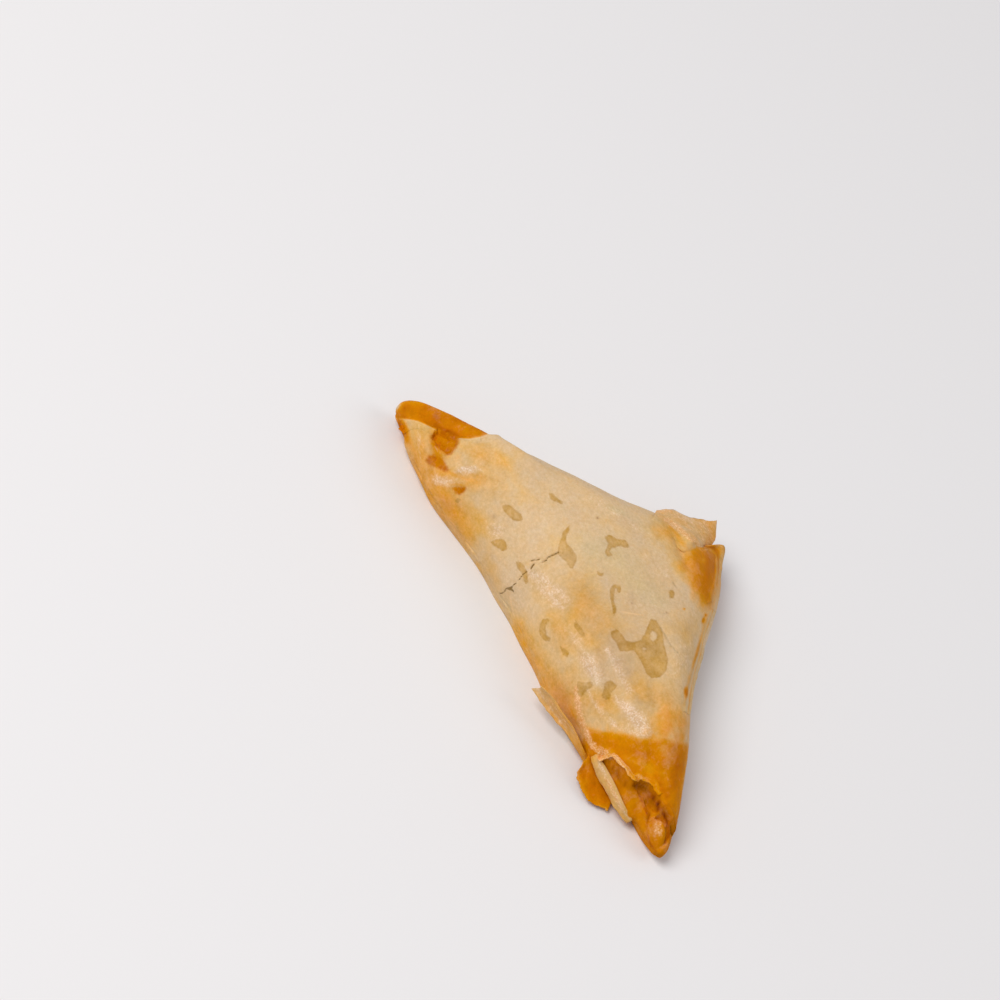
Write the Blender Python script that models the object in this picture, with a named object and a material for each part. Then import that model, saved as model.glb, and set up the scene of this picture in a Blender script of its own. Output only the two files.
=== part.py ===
"""A spanakopita: one flag-folded triangle of filo pastry over a spinach and cheese filling.

The pastry lies flat on its base. Corner A is at -X and corner C at +X, at the two ends of the
long side; corner B, the right angle, is at +Y. It is one closed solid, uncut, so nothing inside
is modelled. Sizes are in millimetres and are written to the mesh in metres.
"""

import math

import bpy
import numpy as np
from mathutils import Vector
from mathutils.geometry import delaunay_2d_cdt

MM = 0.001

# Size of the folded triangle
LEG = 74.0  # either short side, the width of the filo strip it was folded from
HALF = LEG / math.sqrt(2.0)  # half of the long side, and also the height on it
INNER = HALF * (math.sqrt(2.0) - 1.0)  # radius of the inscribed circle, whose centre is (0, INNER)

# Middle of the finished pastry's box, measured from the middle of the long side: the origin goes there
MID_X = -0.445
MID_Y = 23.55

# Outline: the three sides, and the two narrow ends that are folded off blunt
CORNER_POWER = 38.0  # how crisp a corner is
END_A = 54.5
END_C = 53.8

# Section: a flat base, a wall of folded layers, and a round shoulder up to a low dome
BASE_INSET = 1.6
WIDEST = 3.6  # height of the widest line
PLATEAU = 18.6  # height of the filled middle above the base
CROWN = 2.0  # extra height at the very middle
SHOULDER = 12.0  # width of the round shoulder
SHOULDER_POWER = 2.15
WALL = ((0.75, 0.6), (0.2, 1.3), (0.5, 1.75), (0.05, 2.3), (0.35, 2.8))  # (inset, height): layer edges
RIM = (0.12, 0.45, 1.0, 1.8)  # insets of the first rings above the widest line

# Mesh
AROUND = 250
GRID = 1.36


def bell(x, centre, width):
    return np.exp(-(((x - centre) / width) ** 2))


def step(x, width):
    """0 well below zero, 1 well above it, over about the width."""
    return 1.0 / (1.0 + np.exp(np.clip(-4.0 * x / width, -60, 60)))


def along(angle, side):
    """Distance along a side from the foot of its perpendicular from the centre."""
    turn = np.clip((angle - side + 180.0) % 360.0 - 180.0, -80.0, 80.0)
    return np.tan(np.radians(turn)) * INNER


def radius(angle):
    """The outline, as its distance from the centre at an angle in degrees."""
    u = along(angle, -90.0)  # the long side, + towards C: two shallow waists, then it bellies out on the side of C
    long_side = INNER + 0.3 - 1.0 * bell(u, -16, 8) - 0.7 * bell(u, -4, 5) + 2.2 * step(u - 11.0, 9.0)
    long_side = long_side - 1.6 * step(u - 43.0, 5.0) - 0.9 * bell(u, 43, 4) + 0.9 * bell(u, -33, 6) - 2.2 * step(-49.5 - u, 8.0)
    u = along(angle, 45.0)  # C to B, + towards B: waists between swells
    right_side = INNER + 1.4 + 0.85 * np.cos(2 * np.pi * (u - 11.0) / 51.0) + 0.7 * step(-47 - u, 6)
    right_side = right_side - 0.45 * bell(u, -18, 18) - 0.9 * bell(u, -24, 9) - 1.2 * bell(u, 20, 9)
    u = along(angle, 135.0)  # B to A, + towards A: slightly hollow, then the thick folded end
    left_side = INNER - 0.7 + 7.6 * step(u - 37.5, 12.8) - 1.9 * bell(u, 9, 14) - 2.4 * bell(u, 38, 5) + 1.6 * bell(u, 50, 8)
    total = 0.0
    for turn, far in ((-90.0, long_side), (45.0, right_side), (135.0, left_side), (180.0, END_A), (0.0, END_C)):
        facing = np.clip(np.cos(np.radians(angle - turn)), 0.0, None)
        total = total + (facing / far) ** CORNER_POWER
    return total ** (-1.0 / CORNER_POWER)


def near(x, y, cx, cy, size):
    return np.exp(-((x - cx) ** 2 + (y - cy) ** 2) / size**2)


def slot(x, y, x0, y0, x1, y1, half_width):
    """A bell across the segment from (x0, y0) to (x1, y1)."""
    dx, dy = x1 - x0, y1 - y0
    t = np.clip(((x - x0) * dx + (y - y0) * dy) / (dx * dx + dy * dy), 0.0, 1.0)
    return np.exp(-((x - x0 - t * dx) ** 2 + (y - y0 - t * dy) ** 2) / half_width**2)


def hem_a(x):
    """The hem of the top sheet at corner A. Behind it the layer below is bare, up to the edge."""
    return -0.4 + 0.45 * (x + 50.3)


def lifted_edge_c(x):
    """The torn edge of the top sheet at corner C. In front of it the rolled inner layers show."""
    return -2.9 + 0.22 * (x - 30.0) + 0.0115 * (x - 30.0) ** 2


def height(x, y):
    """Height of the upper surface."""
    dx, dy = x, y - INNER
    share = np.clip(np.hypot(dx, dy) / radius(np.degrees(np.arctan2(dy, dx))), 0.0, 1.0)
    end_a, end_c, end_b = near(x, y, -HALF, 0, 20), near(x, y, HALF, 0, 18), near(x, y, 0, HALF, 16)
    shoulder = SHOULDER - 5.5 * end_a - 3.5 * end_c - 2.0 * end_b
    s = np.clip((1.0 - share) * INNER / shoulder, 0.0, 1.0)
    rise = (1.0 - (1.0 - s) ** SHOULDER_POWER) ** (1.0 / SHOULDER_POWER)
    top = (PLATEAU + CROWN * (1.0 - share**2)) * (1.0 - 0.27 * end_a - 0.42 * end_c - 0.30 * end_b)
    # Soft unevenness of the filling under the sheets
    lumps = 0.45 * np.sin(x / 6.1 + 0.8) * np.sin(y / 5.3 + 0.4) + 0.3 * np.sin(x / 3.4 - y / 4.7)
    top = top + lumps * rise
    # Corner A: hem and bare layer, the gap under the hem, and the crumpled folds in front of it
    bare = step(y - hem_a(x), 0.9) * step(-37.0 - x, 1.6)
    top = top - 1.4 * bare
    top = top - 2.4 * slot(x, y, -40.6, 2.2, -38.8, 2.9, 1.5) - 1.3 * slot(x, y, -38.6, -0.4, -35.4, 0.1, 0.9)
    top = top - 0.9 * near(x, y, -29.7, 0.2, 1.2)
    top = top + 0.45 * np.sin((x * 0.5 + y) * 2.2) * near(x, y, -33.0, 0.0, 4.5)
    # Corner B: a pinched ridge with a valley beside it, and the pressed-down corner
    top = top + 1.0 * slot(x, y, -8.0, 41.0, 0.0, 39.2, 1.2) - 0.9 * slot(x, y, -4.0, 35.6, 2.0, 34.6, 1.5)
    top = top - 1.2 * near(x, y, 4.5, 41.0, 5.0)
    # Corner C: the torn top sheet stands proud of the inner layers, which end in a rolled knob
    inner = step(lifted_edge_c(x) - y, 0.9) * step(x - 29.0, 2.5)
    lip = bell(y - lifted_edge_c(x) - 0.9, 0.0, 0.9) * step(x - 26.0, 4.0)
    top = top - 2.6 * inner + 0.5 * lip
    top = top + 0.9 * slot(x, y, 23.0, 0.5, 30.0, 0.2, 1.1)
    top = top + 1.6 * near(x, y, 49.3, 1.2, 2.3) - 1.0 * slot(x, y, 48.6, 4.0, 51.4, 2.2, 0.6)
    return WIDEST + (top - WIDEST) * rise


def even_angles(count):
    """Angles that space the outline's points evenly along it."""
    fine = np.linspace(0.0, 360.0, 7201)
    far = radius(fine)
    px, py = far * np.cos(np.radians(fine)), far * np.sin(np.radians(fine))
    run = np.concatenate([[0.0], np.cumsum(np.hypot(np.diff(px), np.diff(py)))])
    return np.interp(np.arange(count) * run[-1] / count, run, fine)


def ring(angles, inset, z=None):
    """One loop round the pastry, this far in from the outline; on the upper surface if z is None."""
    far = radius(angles) * (1.0 - inset / INNER)
    x, y = far * np.cos(np.radians(angles)), INNER + far * np.sin(np.radians(angles))
    return np.stack([x, y, height(x, y) if z is None else np.full_like(x, z)], 1)


def fill(loop, inner_points):
    """Triangles over a closed loop of plan points, facing up, with the inner points taken in."""
    points = [Vector((float(p[0]), float(p[1]))) for p in np.concatenate([loop[:, :2], inner_points])]
    found = delaunay_2d_cdt(points, [], [list(range(len(loop)))], 1, 1e-5)
    return [tuple(face) for face in found[2]]


def grid_inside(angles, inset, spacing):
    """A triangular grid of plan points, all further in than the inset."""
    rows = []
    for j in range(int(2 * HALF / spacing / 0.866) + 2):
        y = -8.0 + j * spacing * 0.8660254
        x = np.arange(-HALF - 4, HALF + 4, spacing) + (0.5 * spacing if j % 2 else 0.0)
        rows.append(np.stack([x, np.full_like(x, y)], 1))
    pts = np.concatenate(rows)
    dx, dy = pts[:, 0], pts[:, 1] - INNER
    share = np.hypot(dx, dy) / radius(np.degrees(np.arctan2(dy, dx)))
    return pts[(1.0 - share) * INNER > inset]


def mesh_object(name, points, faces):
    mesh = bpy.data.meshes.new(name)
    mesh.from_pydata([((p[0] - MID_X) * MM, (p[1] - MID_Y) * MM, p[2] * MM) for p in points], [], faces)
    mesh.validate()
    mesh.update()
    obj = bpy.data.objects.new(name, mesh)
    bpy.context.scene.collection.objects.link(obj)
    return obj


def pastry_body():
    angles = even_angles(AROUND)
    rings = [ring(angles, BASE_INSET, 0.0)]
    rings += [ring(angles, inset, z) for inset, z in WALL]
    rings.append(ring(angles, 0.0, WIDEST))
    rings += [ring(angles, inset) for inset in RIM]
    inner = grid_inside(angles, RIM[-1] + 0.75 * GRID, GRID)
    inner = np.column_stack([inner, height(inner[:, 0], inner[:, 1])])
    points = np.concatenate(rings + [inner])
    faces = []
    for k in range(len(rings) - 1):
        for i in range(AROUND):
            a, b = k * AROUND + i, k * AROUND + (i + 1) % AROUND
            faces += [(a, b, b + AROUND), (a, b + AROUND, a + AROUND)]
    last = (len(rings) - 1) * AROUND
    faces += [tuple(last + i for i in face) for face in fill(rings[-1], inner[:, :2])]
    faces += [tuple(reversed(face)) for face in fill(rings[0], np.empty((0, 2)))]
    return mesh_object("pastry", points, faces)


def leaf(name, outline, z_low, z_high, lift):
    """A leaf of pastry sticking out of the side: a thin plate whose outer end is raised by lift."""
    outline = np.array(outline, float)
    middle = outline.mean(axis=0)
    far = np.hypot(*(outline - (0.0, INNER)).T)
    raised = lift * (far - far.min()) / (far.max() - far.min())
    points = np.concatenate(
        [
            np.column_stack([outline, z_low + raised]),
            np.column_stack([outline, z_high + raised]),
            [[*middle, z_low + raised.mean()], [*middle, z_high + raised.mean()]],
        ]
    )
    n = len(outline)
    faces = []
    for i in range(n):
        j = (i + 1) % n
        faces += [(i, j, n + j), (i, n + j, n + i), (j, i, 2 * n), (n + i, n + j, 2 * n + 1)]
    cutter = mesh_object(name, points, faces)
    cutter.hide_render = True
    cutter.display_type = "WIRE"
    return cutter


def pastry_material():
    material = bpy.data.materials.new("baked_filo")
    material.use_nodes = True
    shader = material.node_tree.nodes["Principled BSDF"]
    shader.inputs["Base Color"].default_value = (0.61, 0.39, 0.17, 1.0)
    shader.inputs["Roughness"].default_value = 0.45
    shader.inputs["Metallic"].default_value = 0.0
    return material


for old in list(bpy.data.objects):
    bpy.data.objects.remove(old, do_unlink=True)

pastry = pastry_body()
pastry.data.materials.append(pastry_material())

# Leaves of the outer sheets that came loose: one at corner B, one on the long side, one at corner C
leaves = (
    leaf("leaf_b", [(-13.5, 39.0), (-3.0, 42.0), (-1.2, 50.6), (-5.3, 54.3), (-11.6, 42.8)], 6.4, 7.5, 0.4),
    leaf("leaf_side", [(11.0, -1.5), (11.8, -4.9), (13.2, -5.9), (16.5, -5.5), (20.2, -4.8), (24.5, -3.9), (24.0, -1.2)], 2.6, 3.5, 0.2),
    leaf("leaf_c", [(30.0, -0.8), (31.3, -5.2), (33.9, -6.9), (36.8, -7.2), (39.4, -5.8), (40.6, -4.1), (38.0, -0.4)], 1.1, 2.1, 0.3),
)
for piece in leaves:
    join = pastry.modifiers.new(piece.name, "BOOLEAN")
    join.operation = "UNION"
    join.solver = "EXACT"
    join.object = piece
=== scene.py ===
"""The looks of the spanakopita: one flag-folded filo triangle, lying flat.

Lengths in the geometry code are millimetres in the triangle's own frame: x along the long side
from corner A to corner C, y towards corner B, z up, with the origin at the middle of the long
side. to_world() turns them into the frame's metres. Places of small features are written as
picture positions (u to the right, v down, of 1000) and are carried onto the surface.
"""

import math

import bpy
import numpy as np
from mathutils import Matrix, Vector
from mathutils.geometry import delaunay_2d_cdt


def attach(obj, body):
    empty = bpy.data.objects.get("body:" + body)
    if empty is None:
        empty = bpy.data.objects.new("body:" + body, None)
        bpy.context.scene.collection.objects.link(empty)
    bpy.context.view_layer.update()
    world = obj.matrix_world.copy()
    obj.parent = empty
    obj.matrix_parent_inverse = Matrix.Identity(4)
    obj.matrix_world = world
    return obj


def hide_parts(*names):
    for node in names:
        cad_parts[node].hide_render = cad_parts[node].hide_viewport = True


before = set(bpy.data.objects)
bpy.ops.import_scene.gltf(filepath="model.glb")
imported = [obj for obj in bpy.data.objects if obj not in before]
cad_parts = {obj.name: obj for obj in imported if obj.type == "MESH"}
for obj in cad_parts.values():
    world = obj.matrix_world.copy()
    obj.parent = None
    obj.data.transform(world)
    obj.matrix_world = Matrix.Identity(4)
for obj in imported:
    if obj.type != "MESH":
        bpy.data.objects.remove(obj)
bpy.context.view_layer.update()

# ----------------------------------------------------------------------------- sizes shared with the CAD
LEG = 74.0
HALF = LEG / math.sqrt(2.0)
INNER = HALF * (math.sqrt(2.0) - 1.0)
MID_X, MID_Y = -0.445, 23.55
CORNER_POWER = 38.0
END_A, END_C = 54.5, 53.8
WIDEST = 3.6
PLATEAU, CROWN = 18.6, 2.0
SHOULDER, SHOULDER_POWER = 12.0, 2.15


def to_world(points):
    return (np.asarray(points, float) - (MID_X, MID_Y, 0.0)) * 0.001


# ----------------------------------------------------------------------------- camera
LENS = 120.0
TURN = Vector((2.08961504, 1.29143883, 0.0735954167))  # triangle frame to camera, as a rotation vector
SHIFT = Vector((2.85553228, 27.7978816, 666.623683))
VIEW = np.array(Matrix.Rotation(TURN.length, 3, TURN.normalized()))  # rows: right, down, forward
EYE = -VIEW.T @ np.array(SHIFT)
FOCAL = LENS / 36.0 * 1000.0

camera = bpy.data.objects.new("camera", bpy.data.cameras.new("camera"))
bpy.context.scene.collection.objects.link(camera)
camera.data.lens, camera.data.sensor_width, camera.data.sensor_fit = LENS, 36.0, "AUTO"
camera.data.clip_start, camera.data.clip_end = 0.01, 20.0
camera.data.dof.use_dof = False
right, up, back = Vector(VIEW[0]), Vector(-VIEW[1]), Vector(-VIEW[2])
camera.matrix_world = Matrix.Translation(Vector(to_world(EYE))) @ Matrix((right, up, back)).transposed().to_4x4()
bpy.context.scene.camera = camera


def at_height(u, v, z):
    """The point at height z that the camera sees at picture position (u, v)."""
    d = VIEW.T @ np.array([(u - 500.0) / FOCAL, (v - 500.0) / FOCAL, 1.0])
    return EYE + d * (z - EYE[2]) / d[2]


def seen(points):
    rel = (points - EYE) @ VIEW.T
    return 500.0 + FOCAL * rel[:, 0] / rel[:, 2], 500.0 + FOCAL * rel[:, 1] / rel[:, 2]


# ----------------------------------------------------------------------------- small maths
def bell(x, centre, width):
    return np.exp(-(((x - centre) / width) ** 2))


def step(x, width):
    return 1.0 / (1.0 + np.exp(np.clip(-4.0 * x / width, -60, 60)))


def near(x, y, cx, cy, size):
    return np.exp(-((x - cx) ** 2 + (y - cy) ** 2) / size**2)


def hashed(ix, iy, iz, seed):
    h = (ix * 374761393 + iy * 668265263 + iz * 2147483647 + seed * 1274126177) & 0xFFFFFFFF
    h = ((h ^ (h >> 13)) * 1274126177) & 0xFFFFFFFF
    return ((h ^ (h >> 16)) & 0xFFFF) / 32767.5 - 1.0


def noise3(x, y, z, size, seed=0):
    """Smooth noise from -1 to 1, with features about this size."""
    p = [np.asarray(c, float) / size + 1000.0 for c in np.broadcast_arrays(x, y, z)]
    i = [np.floor(c).astype(np.int64) for c in p]
    f = [(c - k) for c, k in zip(p, i)]
    f = [c * c * c * (c * (c * 6 - 15) + 10) for c in f]
    total = 0.0
    for a in (0, 1):
        for b in (0, 1):
            for c in (0, 1):
                w = (f[0] if a else 1 - f[0]) * (f[1] if b else 1 - f[1]) * (f[2] if c else 1 - f[2])
                total = total + w * hashed(i[0] + a, i[1] + b, i[2] + c, seed)
    return total


def fbm(x, y, z, size, octaves=3, seed=0):
    total, amp = 0.0, 1.0
    for k in range(octaves):
        total = total + amp * noise3(x, y, z, size / 2**k, seed + 17 * k)
        amp *= 0.5
    return total / 1.6


def line_distance(x, y, line):
    """Distance to a polyline."""
    best = np.full(np.shape(x), 1e9)
    for (x0, y0), (x1, y1) in zip(line[:-1], line[1:]):
        dx, dy = x1 - x0, y1 - y0
        t = np.clip(((x - x0) * dx + (y - y0) * dy) / max(dx * dx + dy * dy, 1e-9), 0.0, 1.0)
        best = np.minimum(best, np.hypot(x - x0 - t * dx, y - y0 - t * dy))
    return best


def area_distance(x, y, loop):
    """Signed distance to a closed outline, negative inside."""
    inside = np.zeros(np.shape(x), bool)
    n = len(loop)
    for k in range(n):
        (x0, y0), (x1, y1) = loop[k], loop[(k + 1) % n]
        crosses = (y0 > y) != (y1 > y)
        inside ^= crosses & (x < (x1 - x0) * (y - y0) / (y1 - y0 + (1e-12 if y1 == y0 else 0)) + x0)
    far = line_distance(x, y, list(loop) + [loop[0]])
    return np.where(inside, -far, far)


# ----------------------------------------------------------------------------- the pastry's shape
def along(angle, side):
    turn = np.clip((angle - side + 180.0) % 360.0 - 180.0, -80.0, 80.0)
    return np.tan(np.radians(turn)) * INNER


def radius(angle):
    u = along(angle, -90.0)
    long_side = INNER + 0.3 - 1.0 * bell(u, -16, 8) - 0.7 * bell(u, -4, 5) + 2.2 * step(u - 11.0, 9.0) - 1.6 * step(u - 43.0, 5.0) - 0.9 * bell(u, 43, 4) + 0.9 * bell(u, -33, 6) - 2.2 * step(-49.5 - u, 8.0)
    u = along(angle, 45.0)
    right_side = INNER + 1.4 + 0.85 * np.cos(2 * np.pi * (u - 11.0) / 51.0) + 0.7 * step(-47 - u, 6) - 0.45 * bell(u, -18, 18) - 0.9 * bell(u, -24, 9) - 1.2 * bell(u, 20, 9)
    u = along(angle, 135.0)
    left_side = INNER - 0.7 + 7.6 * step(u - 37.5, 12.8) - 1.9 * bell(u, 9, 14) - 2.4 * bell(u, 38, 5) + 1.6 * bell(u, 50, 8)
    total = 0.0
    for turn, far in ((-90.0, long_side), (45.0, right_side), (135.0, left_side), (180.0, END_A), (0.0, END_C)):
        facing = np.clip(np.cos(np.radians(angle - turn)), 0.0, None)
        total = total + (facing / far) ** CORNER_POWER
    return total ** (-1.0 / CORNER_POWER)


def base_inset(angle):
    """How far in the resting face starts: the long side stands almost straight."""
    return 1.6 - 1.1 * bell((angle + 270.0) % 360.0 - 180.0, 0, 60)


def polar(x, y):
    """Angle round the centre, and how far in from the outline, in mm."""
    dx, dy = x, y - INNER
    angle = np.degrees(np.arctan2(dy, dx))
    return angle, (1.0 - np.clip(np.hypot(dx, dy) / radius(angle), 0.0, 1.0)) * INNER


def base_height(x, y):
    """The CAD's dome without the folds at its corners."""
    _, inset = polar(x, y)
    share = 1.0 - inset / INNER
    end_a, end_c, end_b = near(x, y, -HALF, 0, 20), near(x, y, HALF, 0, 18), near(x, y, 0, HALF, 16)
    shoulder = SHOULDER - 5.5 * end_a - 3.5 * end_c - 2.0 * end_b
    s = np.clip(inset / shoulder, 0.0, 1.0)
    rise = (1.0 - (1.0 - s) ** SHOULDER_POWER) ** (1.0 / SHOULDER_POWER)
    top = (PLATEAU + CROWN * (1.0 - share**2)) * (1.0 - 0.27 * end_a - 0.42 * end_c - 0.30 * end_b)
    lumps = 0.45 * np.sin(x / 6.1 + 0.8) * np.sin(y / 5.3 + 0.4) + 0.3 * np.sin(x / 3.4 - y / 4.7)
    return WIDEST + (top + lumps * rise - WIDEST) * rise, rise


def on_top(u, v):
    """The point of the upper surface that the camera sees at picture position (u, v)."""
    z = 14.0
    for _ in range(50):
        p = at_height(u, v, z)
        z = 0.5 * z + 0.5 * float(base_height(p[0], p[1])[0])
    return float(p[0]), float(p[1])


def plan(*points):
    return [on_top(u, v) for u, v in points]


# Corner A: the hem of the top sheet, the gap under it, the strap and the crumpled folds
HEM_UV = [(397, 418), (403, 418.5), (411, 419.5), (419, 421), (428, 425.5), (439, 430.5), (449, 434.5), (458, 437.8), (469, 438.6), (479, 437), (487, 434)]
BARE_UV = HEM_UV + [(490, 420), (440, 380), (385, 385), (388, 418)]
GAP_UV = [(435, 431), (440, 430), (449, 432.5), (457, 436), (459, 440), (457, 446), (454, 450), (451, 454), (446, 455), (441, 451), (436, 447), (432.5, 443), (432, 437)]
STAIN_UV = [(428, 456), (434, 455), (441, 458), (446, 464), (449, 471), (445, 472), (438, 468), (430, 465), (426, 461)]
PIT_UV = [(453, 488), (459, 487), (466, 487.5), (465, 491), (460, 495), (456, 493)]
HEM = plan(*HEM_UV)
BARE = HEM + [(-35.5, 12.0), (-35.0, 30.0), (-62.0, 30.0), (-62.0, -1.0)]
GAP, STAIN, PIT = plan(*GAP_UV), plan(*STAIN_UV), plan(*PIT_UV)
CURL = plan((434, 442), (436, 447), (439, 452), (441, 457))
STRAP = plan((419, 423), (418.5, 440), (419.5, 455), (422, 466))
CRUMPLES = (
    plan((431, 474), (442, 477), (456, 481), (470, 485)),
    plan((437, 484), (447, 486), (458, 484.5), (466, 486)),
    plan((455, 471), (465, 466), (476, 468), (488, 476)),
)
DENTS = (plan((461, 477), (474, 479), (488, 482), (502, 485)), plan((440, 481.5), (452, 483.5)))

# Corner B: the pinched ridge, the valley beside it
RIDGE_B = plan((664, 515), (672, 521), (680, 527), (688, 535), (694, 543))
VALLEY_B = plan((666, 522), (674, 530), (680, 541), (683, 554), (690, 566))

# Corner C: the torn edge of the top sheet, what shows in front of it, and the knob
TORN_UV = [(581, 741), (588, 748), (594, 755), (600, 757), (607, 760), (613, 764), (618, 769), (622, 773), (627, 780), (632, 783), (636, 780), (640, 780.5), (646, 783), (651, 788), (655, 795), (661, 802), (666, 809), (671, 817), (674, 828), (674, 838)]
FRONT_UV = TORN_UV + [(684, 872), (640, 872), (566, 800), (572, 748)]
RIDGE_C_UV = [(577, 688), (578, 700), (580, 712), (584, 726), (590, 740), (599, 751), (612, 758), (622, 766), (629, 774), (634, 781)]
TORN = plan(*TORN_UV)
FRONT = TORN + [(60.0, 8.0), (60.0, -14.0), (24.0, -14.0)]
RIDGE_C = plan(*RIDGE_C_UV)
TONGUE = plan((631, 785), (638, 789), (644, 798), (650, 812))
RED_UV = [(648, 794), (653, 796), (659, 801), (662, 805), (659, 806), (657, 802), (653, 805), (655, 811), (651, 808), (649, 801)]
RED = plan(*RED_UV)
KNOB = on_top(657.5, 831)
WRAP = plan((664, 808), (669, 815), (672, 826), (672, 836), (668, 845), (661, 851))
WRAP_GAP_UV = [(663, 813), (667, 822), (669, 832), (668.5, 838)]
WRAP_GAP = plan(*WRAP_GAP_UV)

# Soft raised folds above corner C and on the near slope: line, height, width
SWELLS = (
    (plan((553, 634), (570, 648), (587, 666), (597, 684)), 0.45, 1.3),
    (plan((603, 645), (612, 664), (621, 688), (632, 708)), 0.45, 1.1),
    (plan((590, 694), (598, 706), (610, 722)), 0.35, 0.8),
    (plan((618, 708), (634, 716), (648, 732)), 0.35, 1.6),
    (plan((600, 652), (603, 678), (606, 704)), -0.35, 1.0),
    (plan((534, 572), (548, 584), (566, 600)), 0.25, 1.2),
    (plan((672, 648), (684, 640), (692, 628)), -0.2, 1.0),
)

# The open crack across the top sheet
CRACK_UV = (
    [(499, 593.5), (502.5, 593.2), (505, 591)],
    [(505, 590), (508, 587.5), (512, 587.5), (514.5, 584), (516, 583)],
    [(511, 588), (514, 591), (515.5, 594)],
    [(519, 580.5), (521, 577), (524, 573.5), (527.5, 571)],
    [(531, 569), (533, 565.5), (534.5, 564)],
    [(531.5, 561), (535, 560), (540, 559.3)],
    [(542, 562.2), (544.5, 561.3), (547, 560)],
    [(547.5, 558), (551, 556), (554, 554.7), (558.5, 552.5)],
)
HOLE_UV = [(505, 588.5), (509, 587.5), (512, 587), (513.5, 590), (515.5, 593.5), (512, 591), (508, 590)]
CRACK = [plan(*line) for line in CRACK_UV]
HOLE = plan(*HOLE_UV)

# Painted shadow lines of creases, and painted highlight lines of raised ones
GREY_UV = (
    [(660.5, 627.4), (663, 631), (666, 637), (669, 643), (673, 648), (678, 653)],
    [(672.6, 582), (674.5, 585), (677, 587.5)],
    [(478, 561), (482, 566), (485.5, 574), (487.5, 585)],
)
HIGHLIGHT_LINES_UV = (
    [(622, 611.6), (630.7, 613.6), (643, 615)],
    [(510, 596), (512, 608), (514, 618), (515, 627)],
    [(419, 422), (418.6, 438), (419.4, 450), (421, 462)],
    [(434, 442), (436, 448), (439, 453), (441, 457)],
)
GREY = [plan(*line) for line in GREY_UV]
SHEET_EDGE_UV = [(709, 613), (704.5, 625), (701, 640), (697, 655), (692.5, 668), (689, 680), (686, 692), (684, 705)]


def folds(x, y):
    """What the sheets' folds add to the dome."""
    add = np.zeros(np.shape(x))
    rough = 0.12 * noise3(x, y, 0.0, 1.3, 5)
    # corner A
    bare = area_distance(x, y, BARE) + rough
    add = add - 1.0 * step(-bare, 0.35) + 0.22 * bell(bare, 0.35, 0.4) + 0.4 * near(x, y, -53.0, 3.6, 3.6)
    gap = area_distance(x, y, GAP) + rough
    add = add - 2.0 * step(-gap - 0.15, 0.7) + 0.2 * bell(gap, 0.35, 0.4)
    add = add - 0.8 * step(-area_distance(x, y, STAIN) - rough, 0.6)
    add = add + 1.3 * bell(line_distance(x, y, CURL), 0, 0.5)
    add = add + 0.55 * bell(line_distance(x, y, STRAP), 0, 0.6)
    add = add - 0.5 * step(-area_distance(x, y, PIT), 0.5)
    for line in CRUMPLES:
        add = add + 0.42 * bell(line_distance(x, y, line), 0, 0.6)
    for line in DENTS:
        add = add - 0.35 * bell(line_distance(x, y, line), 0, 0.7)
    # corner B
    add = add + 0.9 * bell(line_distance(x, y, RIDGE_B), 0, 0.8) - 0.6 * bell(line_distance(x, y, VALLEY_B), 0, 1.3)
    add = add - 5.8 * near(x, y, -4.5, 43.0, 4.2) - 2.0 * near(x, y, -0.5, 46.5, 2.8) + 1.0 * near(x, y, 2.4, 49.5, 3.0)
    # corner C
    front = area_distance(x, y, FRONT) + rough
    add = add - 2.3 * step(-front, 0.35) + 0.35 * bell(front, 0.4, 0.5) * step(x - 31.0, 3.0)
    add = add + 0.7 * bell(line_distance(x, y, RIDGE_C), 0, 0.9)
    add = add + 1.0 * bell(line_distance(x, y, TONGUE), 0, 0.55)
    add = add - 0.9 * step(-area_distance(x, y, RED), 0.35)
    knob = np.hypot((x - KNOB[0]) / 2.6, (y - KNOB[1]) / 2.2)
    add = add + 2.4 * np.sqrt(np.clip(1.0 - knob**2, 0.0, None))
    add = add + 0.9 * bell(line_distance(x, y, WRAP), 0, 0.5) - 0.9 * bell(line_distance(x, y, WRAP_GAP), 0, 0.35)
    for line, amount, width in SWELLS:
        add = add + amount * bell(line_distance(x, y, line), 0, width)
    # crack and creases
    for line in CRACK:
        d = line_distance(x, y, line)
        add = add - 0.4 * bell(d, 0, 0.16) + 0.10 * bell(d, 0.45, 0.25)
    add = add - 0.5 * step(-area_distance(x, y, HOLE), 0.25)
    for line in GREY:
        add = add - 0.14 * bell(line_distance(x, y, line), 0, 0.2)
    return add


def height(x, y):
    z, rise = base_height(x, y)
    # the outer sheet on the side C to B stands off the wall as a narrow ledge
    angle, inset = polar(x, y)
    u = along(angle, 45.0)
    side = bell((angle - 45 + 180) % 360 - 180, 0, 60) * step(19.5 - u, 3.0) * step(u + 36.0, 10.0)
    ledge = side * step(1.15 - inset, 0.25) * np.clip(z - 4.6, 0.0, None)
    z = z - ledge * (0.55 + 0.35 * bell(inset, 0.95, 0.2))
    soft = np.clip(rise * 1.6, 0.0, 1.0)
    return np.maximum(z + folds(x, y) * soft, 0.9 + 0.5 * np.clip(inset, 0, 3))


# ----------------------------------------------------------------------------- meshes
def even_angles(count):
    fine = np.linspace(0.0, 360.0, 14401)
    far = radius(fine)
    px, py = far * np.cos(np.radians(fine)), far * np.sin(np.radians(fine))
    run = np.concatenate([[0.0], np.cumsum(np.hypot(np.diff(px), np.diff(py)))])
    return np.interp(np.arange(count) * run[-1] / count, run, fine)


def ring_plan(angles, inset):
    far = radius(angles) * (1.0 - inset / INNER)
    return far * np.cos(np.radians(angles)), INNER + far * np.sin(np.radians(angles))


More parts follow.
